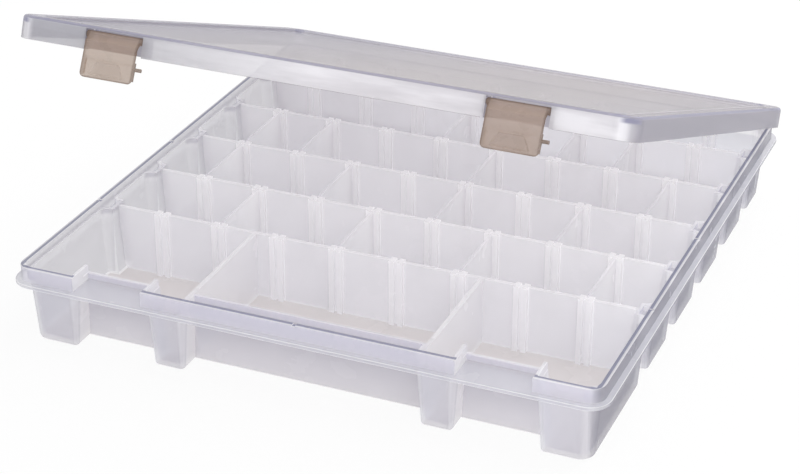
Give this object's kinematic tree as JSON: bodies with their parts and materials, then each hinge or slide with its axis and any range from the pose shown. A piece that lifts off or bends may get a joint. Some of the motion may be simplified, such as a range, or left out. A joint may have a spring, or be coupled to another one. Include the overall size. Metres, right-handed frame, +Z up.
{
  "type": "compartment storage box",
  "caption": "Flat translucent craft box: tray with fixed walls and rib slots, lift-out dividers, shallow hinged lid held half open, two swinging front latches.",
  "frame": {"origin": "middle of the flat underside, on the floor, centred on the rim", "axes": "+X to the right seen from the latches, +Y to the rear hinges, +Z up"},
  "size_m": [0.387, 0.4166, 0.2075],
  "materials": {
    "tray_plastic": "frosted translucent polypropylene",
    "divider_plastic": "frosted translucent polypropylene",
    "lid_plastic": "clear to milky translucent polypropylene",
    "latch_plastic": "translucent warm taupe plastic"
  },
  "bodies": {
    "tray": {"tray": "tray_plastic"},
    "lid": {"lid": "lid_plastic"},
    "latch_left": {"latch_left": "latch_plastic"},
    "latch_right": {"latch_right": "latch_plastic"},
    "divider_row2_slot2": {"divider_row2_slot2": "divider_plastic"},
    "divider_row2_slot4": {"divider_row2_slot4": "divider_plastic"},
    "divider_row2_slot6": {"divider_row2_slot6": "divider_plastic"},
    "divider_row2_slot8": {"divider_row2_slot8": "divider_plastic"},
    "divider_row3_slot1": {"divider_row3_slot1": "divider_plastic"},
    "divider_row3_slot3": {"divider_row3_slot3": "divider_plastic"},
    "divider_row3_slot5": {"divider_row3_slot5": "divider_plastic"},
    "divider_row3_slot7": {"divider_row3_slot7": "divider_plastic"},
    "divider_row4_slot1": {"divider_row4_slot1": "divider_plastic"},
    "divider_row4_slot2": {"divider_row4_slot2": "divider_plastic"},
    "divider_row4_slot5": {"divider_row4_slot5": "divider_plastic"},
    "divider_row4_slot8": {"divider_row4_slot8": "divider_plastic"},
    "divider_row5_slot4": {"divider_row5_slot4": "divider_plastic"},
    "divider_row5_slot6": {"divider_row5_slot6": "divider_plastic"},
    "divider_row5_slot7": {"divider_row5_slot7": "divider_plastic"}
  },
  "joints": [
    {"name": "lid_hinge", "type": "hinge", "parent": "tray", "child": "lid", "pos_m": [0, 0.21095, 0.043], "axis": [-1, 0, 0], "range_deg": [-21.5, 158.5]},
    {"name": "latch_left_pivot", "type": "hinge", "parent": "lid", "child": "latch_left", "pos_m": [-0.1255, -0.16781, 0.20273], "axis": [-1, 0, 0], "range_deg": [-7, 77]},
    {"name": "latch_right_pivot", "type": "hinge", "parent": "lid", "child": "latch_right", "pos_m": [0.1255, -0.16781, 0.20273], "axis": [-1, 0, 0], "range_deg": [-7, 77]},
    {"name": "divider_row2_slot2_lift", "type": "slide", "parent": "tray", "child": "divider_row2_slot2", "axis": [0, 0, 1], "range_m": [0, 0.047]},
    {"name": "divider_row2_slot4_lift", "type": "slide", "parent": "tray", "child": "divider_row2_slot4", "axis": [0, 0, 1], "range_m": [0, 0.047]},
    {"name": "divider_row2_slot6_lift", "type": "slide", "parent": "tray", "child": "divider_row2_slot6", "axis": [0, 0, 1], "range_m": [0, 0.047]},
    {"name": "divider_row2_slot8_lift", "type": "slide", "parent": "tray", "child": "divider_row2_slot8", "axis": [0, 0, 1], "range_m": [0, 0.047]},
    {"name": "divider_row3_slot1_lift", "type": "slide", "parent": "tray", "child": "divider_row3_slot1", "axis": [0, 0, 1], "range_m": [0, 0.047]},
    {"name": "divider_row3_slot3_lift", "type": "slide", "parent": "tray", "child": "divider_row3_slot3", "axis": [0, 0, 1], "range_m": [0, 0.047]},
    {"name": "divider_row3_slot5_lift", "type": "slide", "parent": "tray", "child": "divider_row3_slot5", "axis": [0, 0, 1], "range_m": [0, 0.047]},
    {"name": "divider_row3_slot7_lift", "type": "slide", "parent": "tray", "child": "divider_row3_slot7", "axis": [0, 0, 1], "range_m": [0, 0.047]},
    {"name": "divider_row4_slot1_lift", "type": "slide", "parent": "tray", "child": "divider_row4_slot1", "axis": [0, 0, 1], "range_m": [0, 0.047]},
    {"name": "divider_row4_slot2_lift", "type": "slide", "parent": "tray", "child": "divider_row4_slot2", "axis": [0, 0, 1], "range_m": [0, 0.047]},
    {"name": "divider_row4_slot5_lift", "type": "slide", "parent": "tray", "child": "divider_row4_slot5", "axis": [0, 0, 1], "range_m": [0, 0.047]},
    {"name": "divider_row4_slot8_lift", "type": "slide", "parent": "tray", "child": "divider_row4_slot8", "axis": [0, 0, 1], "range_m": [0, 0.047]},
    {"name": "divider_row5_slot4_lift", "type": "slide", "parent": "tray", "child": "divider_row5_slot4", "axis": [0, 0, 1], "range_m": [0, 0.03]},
    {"name": "divider_row5_slot6_lift", "type": "slide", "parent": "tray", "child": "divider_row5_slot6", "axis": [0, 0, 1], "range_m": [0, 0.03]},
    {"name": "divider_row5_slot7_lift", "type": "slide", "parent": "tray", "child": "divider_row5_slot7", "axis": [0, 0, 1], "range_m": [0, 0.03]}
  ]
}
